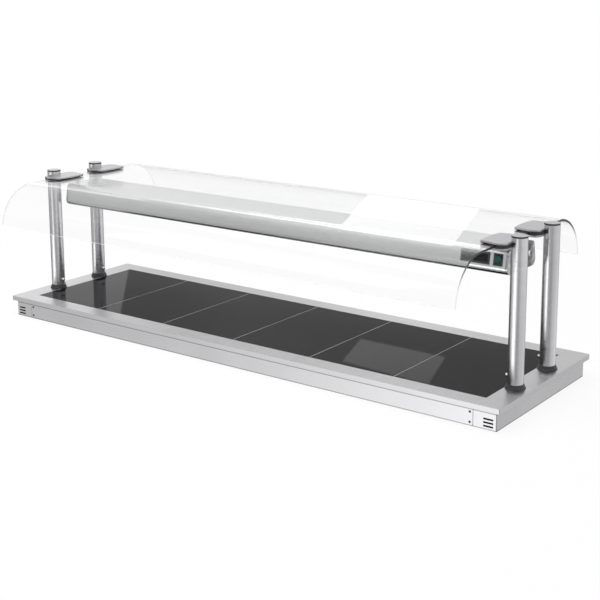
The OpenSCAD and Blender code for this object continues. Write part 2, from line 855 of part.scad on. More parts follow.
module end_boss() {
  color([0.85, 0.85, 0.87]) translate([lamp_half_l, boss_side, lamp_z0 + boss_up]) rotate([0, 90, 0]) {
    cylinder(r = boss_r, h = 6);
    translate([0, 0, 6]) cylinder(r1 = boss_r, r2 = boss_r - 2.5, h = 3);
  }
}

// Sleeves between the housing and the lower clamp plates
module lamp_standoffs() {
  color([0.7, 0.7, 0.72]) at_posts() translate([hang_in, hang_side, lamp_z1]) difference() {
    cylinder(r = standoff_r, h = lamp_drop);
    translate([0, 0, -cut]) cylinder(r = hang_r + fit, h = lamp_drop + 2 * cut);
  }
}

// Bolts from inside the housing into the lower clamp plates
module lamp_bolts() {
  color([0.6, 0.6, 0.62]) at_posts() translate([hang_in, hang_side, lamp_z1 - lamp_wall]) {
    translate([0, 0, -5.5]) cylinder(r = 6.5, h = 5.5);
    translate([0, 0, -0.5]) cylinder(r = hang_r - fit, h = lamp_wall + lamp_drop + plate_t + 0.2);
  }
}

// Bent reflector on the housing's lips, with a wall at each end
module reflector() {
  low_z = lamp_z0 + lamp_wall;
  outer = [[-reflector_low / 2, low_z], [reflector_low / 2, low_z],
    [reflector_high / 2, low_z + reflector_h], [-reflector_high / 2, low_z + reflector_h]];
  inner = [[-reflector_low / 2 + reflector_t * 1.2, low_z - cut],
    [reflector_low / 2 - reflector_t * 1.2, low_z - cut],
    [reflector_high / 2 - reflector_t, low_z + reflector_h - reflector_t],
    [-reflector_high / 2 + reflector_t, low_z + reflector_h - reflector_t]];
  color([0.85, 0.85, 0.86]) {
    along(hot_x0, hot_x1) difference() {
      polygon(outer);
      polygon(inner);
    }
    for (x = [hot_x0, hot_x1 - reflector_t]) along(x, x + reflector_t) polygon(outer);
    for (row = [-1, 1]) to_side(row)
      block([hot_x0, reflector_low / 2 - 1, low_z], [hot_x1, lip_edge, low_z + reflector_t]);
  }
}

// Middles of the heat lamps along the shelf
lamp_middles = [for (i = [0:heat_lamp_count - 1]) hot_x0 + (i + 0.5) * lamp_step];

// Ceramic holders under the reflector, one at each end of a heat lamp
module lamp_holders() {
  low_z = heat_lamp_z - holder_w / 2;
  high_z = lamp_z0 + lamp_wall + reflector_h - reflector_t;
  color([0.92, 0.9, 0.85]) for (x = lamp_middles, side = [-1, 1])
    translate([x, 0, 0]) to_end(side) difference() {
      block([heat_lamp_l / 2 - lamp_seat, -holder_w / 2, low_z],
        [heat_lamp_l / 2 - lamp_seat + holder_l, holder_w / 2, high_z]);
      translate([heat_lamp_l / 2 - lamp_seat - cut, 0, heat_lamp_z]) rotate([0, 90, 0])
        cylinder(r = heat_lamp_d / 2 + fit, h = lamp_seat + cut);
    }
}

// Quartz heat lamps
module heat_lamps() {
  color([0.95, 0.9, 0.85]) for (x = lamp_middles)
    translate([x - heat_lamp_l / 2, 0, heat_lamp_z]) rotate([0, 90, 0])
      cylinder(r = heat_lamp_d / 2, h = heat_lamp_l);
}

// Wire guard between the housing's lips
module lamp_guard() {
  z0 = lamp_z0;
  wires = floor((hot_x1 - hot_x0 - 20) / guard_pitch);
  color([0.7, 0.7, 0.72]) {
    for (row = [-1, 1]) to_side(row)
      block([hot_x0, lamp_slot / 2 - guard_bar_w, z0], [hot_x1, lamp_slot / 2, z0 + lamp_wall]);
    for (i = [0:wires])
      translate([(hot_x0 + hot_x1) / 2 + (i - wires / 2) * guard_pitch, 0, z0 + lamp_wall / 2])
        rotate([90, 0, 0]) cylinder(r = guard_wire_r, h = lamp_slot - guard_bar_w, center = true);
  }
}

// Cover under the control compartment
module control_cover() {
  color([0.75, 0.75, 0.77])
    block([hot_x1 + clear, -lamp_slot / 2, lamp_z0], [shell_half_l, lamp_slot / 2, lamp_z0 + lamp_wall]);
}

// Upright rounded rectangle on the front face, between two depths
module face_plate(w, h, y0, y1, r) {
  translate([0, y1, 0]) rotate([90, 0, 0]) linear_extrude(y1 - y0) rect(w, h, r);
}

// Black frame of the control window
module control_bezel() {
  color([0.12, 0.12, 0.12]) on_front(window_x) difference() {
    union() {
      face_plate(window_w, window_h, -bezel_t, 0, 2);
      translate([0, sleeve_depth / 2, 0])
        cube([window_w - 2 * sleeve_in, sleeve_depth, window_h - 2 * sleeve_in], center = true);
    }
    cube([window_w - 2 * bezel_rim, 4 * sleeve_depth, window_h - 2 * bezel_rim], center = true);
  }
}

// Smoked screen in the bezel
module control_screen() {
  color([0.2, 0.2, 0.22]) on_front(window_x) translate([0, 0.5, 0])
    cube([window_w - 2 * bezel_rim, 3, window_h - 2 * bezel_rim], center = true);
}

// Case of the temperature controller, with its display behind the screen
module controller_case() {
  color([0.25, 0.25, 0.27]) on_front(window_x) {
    translate([0, sleeve_depth + case_depth / 2, 0])
      cube([window_w - 2 * sleeve_in, case_depth, window_h - 2 * sleeve_in], center = true);
    translate([0, sleeve_depth / 2 + 1.5, 0])
      cube([window_w - 2 * bezel_rim - clear, sleeve_depth - 1, window_h - 2 * bezel_rim - clear],
        center = true);
  }
}

// Switch body with its frame and the bearings for the rocker
module switch_case() {
  inner_w = rocker_w + 2 * clear;
  inner_h = 2 * (rocker_r + clear);
  color([0.1, 0.1, 0.1]) on_front(switch_x) difference() {
    union() {
      face_plate(switch_w, window_h, -bezel_t, 0, 2);
      translate([0, switch_depth / 2, 0])
        cube([inner_w + 2 * switch_wall, switch_depth, inner_h + 3.2], center = true);
    }
    translate([0, (switch_depth - 2) / 2 - bezel_t, 0])
      cube([inner_w, switch_depth - 2 + bezel_t, inner_h], center = true);
    translate([0, -bezel_t, 0]) cube([inner_w, 4 * bezel_t, inner_h], center = true);
    translate([0, pivot_depth, 0]) rotate([0, 90, 0])
      cylinder(r = pivot_r + fit, h = inner_w + 2 * switch_wall + 2 * cut, center = true);
  }
}

// Green rocker, resting with its lower half pressed
module switch_rocker() {
  dish = rocker_r * tan(rocker_tilt);
  face = 1.5;
  color([0.1, 0.35, 0.3]) on_front(switch_x) translate([0, pivot_depth, 0]) rotate([rocker_tilt, 0, 0]) {
    rotate([90, 0, 90]) linear_extrude(rocker_w, center = true) intersection() {
      circle(r = rocker_r);
      polygon([[-pivot_depth - face, 0], [-pivot_depth - face - dish, rocker_r], [rocker_back, rocker_r],
        [rocker_back, -rocker_r], [-pivot_depth - face - dish, -rocker_r]]);
    }
    rotate([0, 90, 0]) cylinder(r = pivot_r, h = rocker_w + 2 * pivot_l, center = true);
  }
}

top_frame();
end_panel_left();
end_panel_right();
front_fascia();
rear_panel();
base_plate();
panel_screws();
counter_seal();
glass_tile(1);  // glass_tile_1
glass_tile(2);  // glass_tile_2
glass_tile(3);  // glass_tile_3
glass_tile(4);  // glass_tile_4
glass_tile(5);  // glass_tile_5
glass_tile(6);  // glass_tile_6
seam_strips();
tile_bed();
cross_rails();
heater_mats();
insulation_pads();
insulation_tray();
limit_thermostats();
junction_box();
cable_gland();
post_doublers();
spigot_bolts();
post_spigots();
post_front_left();
post_rear_left();
post_front_right();
post_rear_right();
post_collars();
lock_screws();
tie_rods();
clamp_spacers();
rod_nuts();
cap_seals();
post_caps();
upper_plates();
lower_plates();
upper_gaskets();
lower_gaskets();
clamp_screws();
canopy_glass();
lamp_housing();
end_cap_left();
end_cap_right();
end_cap_screws();
end_boss();
lamp_standoffs();
lamp_bolts();
reflector();
lamp_holders();
heat_lamps();
lamp_guard();
control_cover();
control_bezel();
control_screen();
controller_case();
switch_case();
switch_rocker();
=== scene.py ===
from math import cos, pi, radians, sin

import bmesh
import bpy
from mathutils import Matrix, Vector


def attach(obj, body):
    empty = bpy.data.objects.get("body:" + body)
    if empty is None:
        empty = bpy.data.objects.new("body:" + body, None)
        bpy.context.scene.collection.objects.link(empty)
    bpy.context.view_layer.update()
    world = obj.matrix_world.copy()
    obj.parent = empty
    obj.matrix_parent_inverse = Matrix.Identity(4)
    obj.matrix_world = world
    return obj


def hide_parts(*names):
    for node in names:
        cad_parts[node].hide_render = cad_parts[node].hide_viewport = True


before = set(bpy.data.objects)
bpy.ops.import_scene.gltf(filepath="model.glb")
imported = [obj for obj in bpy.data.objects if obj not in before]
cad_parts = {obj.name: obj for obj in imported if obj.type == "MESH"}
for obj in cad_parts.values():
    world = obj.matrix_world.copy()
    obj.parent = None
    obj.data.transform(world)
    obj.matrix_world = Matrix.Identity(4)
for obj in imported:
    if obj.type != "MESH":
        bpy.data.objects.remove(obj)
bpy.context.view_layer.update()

# Long panels and end panels of the base: folded 1.5 mm brushed stainless sheet, a fascia in front,
# a like panel behind, and an end panel at each side that wraps the corners. The louvres are
# punched and every fold and cut edge keeps a small radius.


class Wire:
    """A shader socket that adds, multiplies and takes away like a number."""

    def __init__(self, tree, socket=None):
        self.tree = tree
        self.socket = socket

    def node(self, kind, settings=None, sockets=None, output=0):
        """Adds a node: its settings first, then the value or the link of each socket."""
        made = self.tree.nodes.new(kind)
        for name, value in (settings or {}).items():
            if name == "stops":
                for place, colour in value[1:-1]:
                    made.color_ramp.elements.new(place).color = colour
                for element, (place, colour) in ((0, value[0]), (-1, value[-1])):
                    made.color_ramp.elements[element].position = place
                    made.color_ramp.elements[element].color = colour
            else:
                setattr(made, name, value)
        for name, value in (sockets or {}).items():
            if isinstance(value, Wire):
                self.tree.links.new(value.socket, made.inputs[name])
            else:
                made.inputs[name].default_value = value
        return Wire(self.tree, made.outputs[output] if made.outputs else None)

    def out(self, name):
        return Wire(self.tree, self.socket.node.outputs[name])

    def maths(self, operation, *others):
        sockets = dict(enumerate((self, *others)))
        return self.node("ShaderNodeMath", {"operation": operation}, sockets)

    def __add__(self, other):
        return self.maths("ADD", other)

    def __sub__(self, other):
        return self.maths("SUBTRACT", other)

    def __rsub__(self, other):
        return self.node("ShaderNodeMath", {"operation": "SUBTRACT"}, {0: other, 1: self})

    def __mul__(self, other):
        return self.maths("MULTIPLY", other)

    def __truediv__(self, other):
        return self.maths("DIVIDE", other)

    __radd__ = __add__
    __rmul__ = __mul__

    def between(self, low, high, start=0.0, end=1.0):
        """Runs from start to end, smoothly, as this value goes from low to high."""
        return self.node("ShaderNodeMapRange", {"interpolation_type": "SMOOTHSTEP"},
            {"Value": self, "From Min": low, "From Max": high, "To Min": start, "To Max": end})

    def tint(self, low, high):
        """A colour between two, low where this value is 0 and high where it is 1."""
        low, high = (end if isinstance(end, Wire) else (*end, 1) for end in (low, high))
        return self.node("ShaderNodeMix", {"data_type": "RGBA"}, {0: self, 6: low, 7: high}, 2)


def new_finish(name):
    """An empty material, its first wire and its Object coordinates."""
    finish = bpy.data.materials.new(name)
    finish.use_nodes = True
    finish.node_tree.nodes.clear()
    wire = Wire(finish.node_tree)
    return finish, wire, wire.node("ShaderNodeTexCoord", output="Object")


def coat_surface(finish, wire, bump=None, bump_depth=0.0002, bump_strength=0.3, **sockets):
    """The material's shader: values and links by socket name, a space written as an underscore."""
    values = {name.replace("_", " "): value for name, value in sockets.items()}
    if bump is not None:
        values["Normal"] = wire.node("ShaderNodeBump", None,
            {"Height": bump, "Distance": bump_depth, "Strength": bump_strength})
    shader = wire.node("ShaderNodeBsdfPrincipled", None, values)
    wire.node("ShaderNodeOutputMaterial", None, {"Surface": shader})
    return finish


def noise(wire, place, scale, stretch=(1, 1, 1), detail=3.0):
    """Noise, drawn out along the axes where stretch is small."""
    spot = wire.node("ShaderNodeMapping", None, {"Vector": place, "Scale": stretch})
    return wire.node("ShaderNodeTexNoise", None,
        {"Vector": spot, "Scale": scale, "Detail": detail, "Roughness": 0.55})


def axes(wire, place):
    """The three coordinates of a place or a direction."""
    east = wire.node("ShaderNodeSeparateXYZ", None, {"Vector": place})
    return east, east.out("Y"), east.out("Z")


def brushed_steel(name, dark, light, stretch, band_stretch, rough, uneven=0.12, line_share=0.4,
        furrow=0.000004, shaded_lines=()):
    """Brushed metal: fine lines along the grain, soft bands where the belt pressed harder, and a
    thin line of painted shade at each height that is given."""
    finish, wire, place = new_finish(name)
    lines = noise(wire, place, 1.0, stretch, detail=5.0).between(0.3, 0.7)
    fine = noise(wire, place, 4.0, stretch, detail=2.0).between(0.25, 0.75)
    bands = noise(wire, place, 1.0, band_stretch, detail=1.0).between(0.3, 0.7)
    fine_share = 0.2
    mixed = lines * line_share + fine * fine_share + bands * (1.0 - fine_share - line_share)
    colour = mixed.tint(dark, light)
    shade, shade_share, half_width, fade = (0.2, 0.2, 0.2), 0.7, 0.0012, 0.0010
    for level in shaded_lines:
        distance = (axes(wire, place)[2] - level).maths("ABSOLUTE")
        near = 1.0 - distance.between(half_width, half_width + fade)
        colour = (near * shade_share).tint(colour, shade)
    return coat_surface(finish, wire, bump=lines + fine * 0.5, bump_depth=furrow, bump_strength=1.0,
        Base_Color=colour, Metallic=1.0, Roughness=mixed * uneven + rough)


def rounded_copy(name, node, body, finish, edge, steps=2, angle=32):
    """A copy of the part as constructed, merged, whose sharp edges get a small radius."""
    shape = bmesh.new()
    shape.from_mesh(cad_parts[node].data)
    bmesh.ops.remove_doubles(shape, verts=shape.verts, dist=1e-6)
    bmesh.ops.dissolve_limit(shape, angle_limit=radians(0.1), verts=shape.verts, edges=shape.edges)
    for face in shape.faces:
        face.smooth = True
    mesh = bpy.data.meshes.new(name)
    shape.to_mesh(mesh)
    shape.free()
    if "custom_normal" in mesh.attributes:
        mesh.attributes.remove(mesh.attributes["custom_normal"])
    piece = bpy.data.objects.new(name, mesh)
    bpy.context.scene.collection.objects.link(piece)
    mesh.materials.append(finish)
    soften = piece.modifiers.new("edges", "BEVEL")
    soften.width = edge
    soften.segments = steps
    soften.limit_method = "ANGLE"
    soften.angle_limit = radians(angle)
    soften.use_clamp_overlap = False
    soften.harden_normals = True
    flats = piece.modifiers.new("flats", "WEIGHTED_NORMAL")
    flats.keep_sharp = True
    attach(piece, body)
    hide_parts(node)
    return piece


def dress(finish, *nodes):
    """Gives parts as constructed their finish."""
    for node in nodes:
        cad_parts[node].material_slots[0].material = finish


# Painted shade: a thin dark line is painted on the panels just under the lip, where the lip's
# shadow falls, and another just above the hem, where the panels stand on the floor.
under_lip, above_hem, fold = 0.0525, 0.0020, 0.0004
panel_steel = brushed_steel("panel_steel", (0.47, 0.47, 0.48), (0.56, 0.56, 0.57),
    stretch=(3, 40, 900), band_stretch=(3.5, 3.5, 0.5), rough=0.20, line_share=0.3,
    shaded_lines=(under_lip, above_hem))
for name, node in (("fascia_sheet", "front_fascia"), ("rear_sheet", "rear_panel"),
        ("end_sheet_left", "end_panel_left"), ("end_sheet_right", "end_panel_right")):
    rounded_copy(name, node, "shelf", panel_steel, edge=fold)

# Screws: small round-headed ones of blackened steel hold the panels' ends, and bright turned
# ones, a little darker than the sheet, hold the posts, plates, housing and end caps.
screw_steel, wire, place = new_finish("screw_steel")
turned = noise(wire, place, 900.0, detail=2.0)
coat_surface(screw_steel, wire, bump=turned, bump_depth=0.00004,
    Base_Color=turned.tint((0.40, 0.40, 0.41), (0.62, 0.62, 0.63)),
    Metallic=1.0, Roughness=turned * 0.2 + 0.22)
blackened_steel, wire, place = new_finish("blackened_steel")
oxide = noise(wire, place, 900.0, detail=2.0)
coat_surface(blackened_steel, wire, bump=oxide, bump_depth=0.00004,
    Base_Color=oxide.tint((0.02, 0.02, 0.02), (0.07, 0.07, 0.07)),
    Metallic=0.0, Roughness=oxide * 0.2 + 0.35)
rounded_copy("fascia_screws", "panel_screws", "shelf", blackened_steel, edge=0.0002)
dress(screw_steel, "spigot_bolts", "tie_rods", "clamp_spacers", "rod_nuts", "clamp_screws",
    "lamp_bolts", "end_cap_screws")

# Floor of the base, insulation tray, cross rails and doubler plates: galvanised sheet with the
# spangle of the zinc. The floor is punched with vent slots.
galvanised, wire, place = new_finish("galvanised")
flakes = wire.node("ShaderNodeTexVoronoi", {"feature": "F1"},
    {"Vector": place, "Scale": 90.0}, "Color")
flake = wire.node("ShaderNodeSeparateColor", None, {"Color": flakes})
cloud = noise(wire, place, 14.0)
coat_surface(galvanised, wire, bump=flake, bump_depth=0.00003, bump_strength=0.2,
    Base_Color=(flake * 0.6 + cloud * 0.4).tint((0.42, 0.44, 0.46), (0.66, 0.68, 0.70)),
    Metallic=1.0, Roughness=flake * 0.16 + 0.34)
rounded_copy("base_floor", "base_plate", "shelf", galvanised, edge=0.0003)
dress(galvanised, "insulation_tray", "cross_rails", "post_doublers")

# Insulation pads: mineral wool, cut to size, laid in the tray between the rails and pressed up
# under the mats.
mineral_wool, wire, place = new_finish("mineral_wool")
fibres = noise(wire, place, 260.0, (1, 0.25, 1), detail=6.0)
tufts = noise(wire, place, 40.0, detail=4.0)
wool = (fibres * 0.6 + tufts * 0.4).between(0.3, 0.7)
coat_surface(mineral_wool, wire, bump=fibres + tufts, bump_depth=0.002, bump_strength=0.8,
    Base_Color=wool.tint((0.42, 0.36, 0.20), (0.80, 0.74, 0.52)), Metallic=0.0, Roughness=0.95)
dress(mineral_wool, "insulation_pads")

# Heating mats: etched foil tracks between two films of amber polyimide, stuck under the tiles.
# The tracks run lengthwise, 11 mm apart.
heating_mat, wire, place = new_finish("heating_mat")
tracks_per_metre = 90.0
across_tracks = (axes(wire, place)[1] * tracks_per_metre).maths("FRACT")
track = (across_tracks - 0.5).maths("ABSOLUTE").between(0.16, 0.2)
film = noise(wire, place, 30.0)
coat_surface(heating_mat, wire, bump=track, bump_depth=0.0002, bump_strength=0.5,
    Base_Color=(track * 0.85 + film * 0.15).tint((0.30, 0.17, 0.09), (0.62, 0.24, 0.05)),
    Metallic=(1.0 - track) * 0.6, Roughness=0.35)
dress(heating_mat, "heater_mats")

# Over-heat cut-outs, junction box and cable gland: moulded plastic with a fine sparked texture.
# The gland screws into the rear panel, and the box and the cut-outs are fixed inside.


def moulded(name, dark, light, rough):
    """Moulded plastic: a fine sparked grain and a faint cloud in the colour."""
    finish, wire, place = new_finish(name)
    spark = noise(wire, place, 700.0, detail=2.0)
    cloud = noise(wire, place, 35.0)
    return coat_surface(finish, wire, bump=spark, bump_depth=0.00012, bump_strength=0.35,
        Base_Color=(cloud * 0.7 + spark * 0.3).tint(dark, light),
        Metallic=0.0, Roughness=spark * 0.15 + rough)


black_plastic = moulded("black_plastic", (0.012, 0.012, 0.013), (0.030, 0.030, 0.032), 0.38)
grey_plastic = moulded("grey_plastic", (0.10, 0.10, 0.11), (0.19, 0.19, 0.20), 0.45)
rounded_copy("gland", "cable_gland", "shelf", black_plastic, edge=0.0004)
rounded_copy("lead_box", "junction_box", "shelf", grey_plastic, edge=0.0008)
dress(black_plastic, "limit_thermostats")

# Top frame: one stainless sheet, folded down to a lip all round and stepped inside to the ledge
# that carries the glass. The grain runs the length of the sheet.
frame_steel = brushed_steel("frame_steel", (0.48, 0.48, 0.49), (0.57, 0.57, 0.58),
    stretch=(2, 800, 800), band_stretch=(6, 2, 2), rough=0.24, line_share=0.35)
rounded_copy("frame_sheet", "top_frame", "shelf", frame_steel, edge=0.0006, steps=3)

# Foam seal under the frame, silicone bed and bead of the glass, and later the gaskets and seal
# rings: black rubber with a dull skin and a fine open grain.
black_rubber, wire, place = new_finish("black_rubber")
skin = noise(wire, place, 420.0)
dust = noise(wire, place, 24.0)
coat_surface(black_rubber, wire, bump=skin, bump_depth=0.0002, bump_strength=0.4,
    Base_Color=(skin * 0.4 + dust * 0.6).tint((0.010, 0.010, 0.011), (0.030, 0.030, 0.032)),
    Metallic=0.0, Roughness=skin * 0.2 + 0.5)
dress(black_rubber, "counter_seal", "tile_bed")

# Glass tiles: six tiles of toughened black glass-ceramic, flush with the frame. The edges are
# ground to a fine arris, and wiping leaves faint smears on the polish.
black_glass, wire, place = new_finish("black_glass")
smears = noise(wire, place, 7.0, (1, 2.5, 1), detail=5.0).between(0.45, 0.8)
body_tone = noise(wire, place, 3.0)
coat_surface(black_glass, wire,
    Base_Color=body_tone.tint((0.006, 0.006, 0.007), (0.014, 0.014, 0.015)),
    Metallic=0.0, Roughness=smears * 0.012 + 0.004, IOR=1.09, Specular_Tint=(1.0, 0.96, 1.0, 1.0))
for number in range(1, 7):
    rounded_copy(f"tile_{number}", f"glass_tile_{number}", "shelf", black_glass,
        edge=0.0006)

# Light strips in the seams: pale heat-proof silicone, drawn along the five seams between the
# tiles and struck off just below the glass.
seam_strip, wire, place = new_finish("seam_strip")
drawn = noise(wire, place, 60.0, (1, 0.1, 1), detail=4.0)
coat_surface(seam_strip, wire, bump=drawn, bump_depth=0.0002,
    Base_Color=drawn.tint((0.19, 0.19, 0.19), (0.35, 0.35, 0.34)),
    Metallic=0.0, Roughness=drawn * 0.2 + 0.4)
rounded_copy("strips", "seam_strips", "shelf", seam_strip, edge=0.0003)

# Posts: polished stainless tube, 50.8 mm across, ground round and round, so the fine lines run
# across the tube and draw every reflection out lengthwise. The spigots inside are turned.
tube_steel = brushed_steel("tube_steel", (0.58, 0.57, 0.59), (0.76, 0.75, 0.77),
    stretch=(6, 6, 1500), band_stretch=(20, 20, 1.5), rough=0.12, uneven=0.05, line_share=0.3,
    furrow=0.00006)
for corner in ("front_left", "rear_left", "front_right", "rear_right"):
    rounded_copy(f"tube_{corner}", f"post_{corner}", "shelf", tube_steel,
        edge=0.0003)
dress(tube_steel, "post_spigots")

# Foot collars: black moulded rings round the posts' feet, flared towards the frame, with a thin
# bead at the bottom where they seal on the sheet. The section is given as radius and height.
frame_top, post_x, post_y = 0.076, 1.0, 0.1105
collar_section = ((0.02545, 0.0), (0.0322, 0.0), (0.0324, 0.0012), (0.0314, 0.0022),
    (0.0268, 0.0132), (0.0262, 0.0145), (0.02545, 0.0145))
flare = bmesh.new()
for side, row in ((-1, -1), (-1, 1), (1, -1), (1, 1)):
    middle = Vector((side * post_x, row * post_y, frame_top))
    ring = [flare.verts.new(middle + Vector((out, 0, up))) for out, up in collar_section]
    edges = [flare.edges.new(ends) for ends in zip(ring, ring[1:] + ring[:1])]
    bmesh.ops.spin(flare, geom=ring + edges, cent=middle, axis=(0, 0, 1), angle=2 * pi, steps=72,
        use_merge=True)
bmesh.ops.remove_doubles(flare, verts=flare.verts, dist=1e-6)
bmesh.ops.recalc_face_normals(flare, faces=flare.faces)
# Spin leaves its faces in a chance order, so they are sorted by place and each run is alike.
sorting_way = Vector((1.0, 7.13, 113.7))
flare.verts.sort(key=lambda point: point.co.dot(sorting_way))
flare.edges.sort(key=lambda edge: (edge.verts[0].co + edge.verts[1].co).dot(sorting_way))
flare.faces.sort(key=lambda face: face.calc_center_median().dot(sorting_way))
for face in flare.faces:
    face.smooth = True
rings_mesh = bpy.data.meshes.new("foot_rings")
flare.to_mesh(rings_mesh)
flare.free()
rings_mesh.set_sharp_from_angle(angle=radians(35))
rings_mesh.materials.append(black_plastic)
foot_rings = bpy.data.objects.new("foot_rings", rings_mesh)
bpy.context.scene.collection.objects.link(foot_rings)
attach(foot_rings, "shelf")
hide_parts("post_collars")

# Lock screws of the posts, and later the boss on the right end cap: chromed, with faint wiping
# marks. Each lock screw sits low on the inner side of its post.
chrome, wire, place = new_finish("chrome")
wipes = noise(wire, place, 160.0, detail=4.0)
coat_surface(chrome, wire, Base_Color=wipes.tint((0.70, 0.71, 0.72), (0.84, 0.84, 0.85)),
    Metallic=1.0, Roughness=wipes * 0.12 + 0.04)
rounded_copy("knobs", "lock_screws", "shelf", chrome, edge=0.0005, steps=3)

# Clamp plates: shields of 6 mm stainless plate with a polished arris, ground across, one above and
# one below the glass at each post, each with a black rubber gasket.
plate_steel = brushed_steel("plate_steel", (0.39, 0.38, 0.40), (0.50, 0.49, 0.51),
    stretch=(14, 560, 560), band_stretch=(9, 9, 9), rough=0.22, line_share=0.5)
rounded_copy("shields_upper", "upper_plates", "shelf", plate_steel,
    edge=0.0016, steps=3)
rounded_copy("shields_lower", "lower_plates", "shelf", plate_steel, edge=0.0006)
rounded_copy("pads_upper", "upper_gaskets", "shelf", black_rubber, edge=0.0003)
rounded_copy("pads_lower", "lower_gaskets", "shelf", black_rubber, edge=0.0003)

# Caps of the posts: flat turned discs of the plates' steel with a black plastic rim, each on a
# black rubber ring.
caps = rounded_copy("discs", "post_caps", "shelf", plate_steel,
    edge=0.0006, steps=3)
caps.data.materials.append(black_plastic)
for face in caps.data.polygons:
    face.material_index = 0 if abs(face.normal.z) > 0.5 else 1
rounded_copy("rings", "cap_seals", "shelf", black_rubber, edge=0.0003)

# Canopy: one sheet of clear toughened glass, bent down at the front and the back, with eight holes
# for the clamp screws. Its ends and tips are ground and pale. The right end has a painted dark
# reflection high up, and the left end lets some light through.
clear_glass, wire, place = new_finish("clear_glass")
haze = noise(wire, place, 5.0, detail=4.0)
coat_surface(clear_glass, wire,
    Base_Color=haze.tint((0.986, 0.986, 0.989), (0.992, 0.993, 0.996)),
    Metallic=0.0, Roughness=0.0, IOR=1.01, Transmission_Weight=1.0,
    Coat_Weight=1.0, Coat_Roughness=0.0, Coat_IOR=1.3)
canopy = rounded_copy("bent_glass", "canopy_glass", "shelf", clear_glass,
    edge=0.0010, steps=3, angle=50)
canopy.visible_shadow = False
ground_edge_painted_reflection, wire, place = new_finish("ground_edge_painted_reflection")
along, _, height = axes(wire, place)
ground = noise(wire, place, 500.0)
right_half = along.between(-0.1, 0.1)
# Painted reflection: on the right end the colour turns from pale to dark towards the top, standing
# in for the dark that the glass edge mirrors there.
painted_dark_reflection = (height + (ground - 0.5) * 0.02).between(0.425, 0.51) * right_half
coat_surface(ground_edge_painted_reflection, wire,
    Base_Color=painted_dark_reflection.tint((0.95, 0.96, 0.96), (0.035, 0.038, 0.038)),
    Metallic=0.0, Roughness=0.12, IOR=1.3, Alpha=along.between(-0.1, 0.1, 0.4, 1.0))
canopy.data.materials.append(ground_edge_painted_reflection)
upright, smallest_end, tip_y = 0.7, 1e-4, 0.40
for face in canopy.data.polygons:
    end = abs(face.normal.x) > upright and face.area > smallest_end
    tip = face.normal.z < -upright and abs(face.center.y) > tip_y
    face.material_index = 1 if end or tip else 0

# Lamp housing: an aluminium extrusion, open below, brushed and anodised, that hangs on stand-offs
# from the lower clamp plates. The end caps are cast, with a faintly dimpled skin, and the right
# one carries a chromed boss.
lamp_aluminium = brushed_steel("lamp_aluminium", (0.64, 0.65, 0.65), (0.72, 0.73, 0.73),
    stretch=(2, 700, 700), band_stretch=(1.2, 3, 3), rough=0.20, uneven=0.04, line_share=0.3,
    furrow=0.000001)
rounded_copy("lamp_body", "lamp_housing", "shelf", lamp_aluminium, edge=0.0003)
cast, wire, place = new_finish("cast_aluminium")
dimples = noise(wire, place, 130.0, detail=1.0)
tone = noise(wire, place, 60.0, detail=2.0)
coat_surface(cast, wire, bump=dimples, bump_depth=0.0005, bump_strength=1.0,
    Base_Color=tone.between(0.35, 0.65).tint((0.36, 0.36, 0.37), (0.56, 0.56, 0.57)),
    Metallic=1.0, Roughness=tone * 0.1 + 0.14)
rounded_copy("lamp_end_left", "end_cap_left", "shelf", cast, edge=0.0006, steps=3)
rounded_copy("lamp_end_right", "end_cap_right", "shelf", cast,
    edge=0.0006, steps=3)
rounded_copy("lamp_cover", "control_cover", "shelf", lamp_aluminium, edge=0.0004)
rounded_copy("standoff_tubes", "lamp_standoffs", "shelf", lamp_aluminium,
    edge=0.0004)
rounded_copy("boss", "end_boss", "shelf", chrome, edge=0.0008, steps=3)

# Reflector and wire guard: bright stucco aluminium, bent to a trough, and plated wires welded to
# two flat bars.
reflector, wire, place = new_finish("reflector")
stucco = wire.node("ShaderNodeTexVoronoi", {"feature": "SMOOTH_F1"},
    {"Vector": place, "Scale": 260.0}, "Distance")
bright = noise(wire, place, 12.0)
coat_surface(reflector, wire, bump=stucco, bump_depth=0.0003, bump_strength=0.4,
    Base_Color=bright.tint((0.76, 0.76, 0.77), (0.90, 0.90, 0.90)),
    Metallic=1.0, Roughness=bright * 0.15 + 0.3)
dress(reflector, "reflector", "lamp_guard")

# Heat lamps and their holders: quartz tubes, frosted by the winding behind them, each held at its
# ends in holders of pale steatite.
quartz, wire, place = new_finish("quartz")
winding = noise(wire, place, 1.0, (900, 30, 30), detail=2.0)
coat_surface(quartz, wire, bump=winding, bump_depth=0.0003,
    Base_Color=winding.tint((0.62, 0.56, 0.50), (0.92, 0.88, 0.82)),
    Metallic=0.0, Roughness=0.12, IOR=1.46)
ceramic, wire, place = new_finish("ceramic")
body_grain = noise(wire, place, 300.0, detail=4.0)
coat_surface(ceramic, wire, bump=body_grain, bump_depth=0.0002,
    Base_Color=body_grain.tint((0.70, 0.67, 0.60), (0.90, 0.88, 0.82)),
    Metallic=0.0, Roughness=body_grain * 0.2 + 0.45)
dress(quartz, "heat_lamps")
dress(ceramic, "lamp_holders")

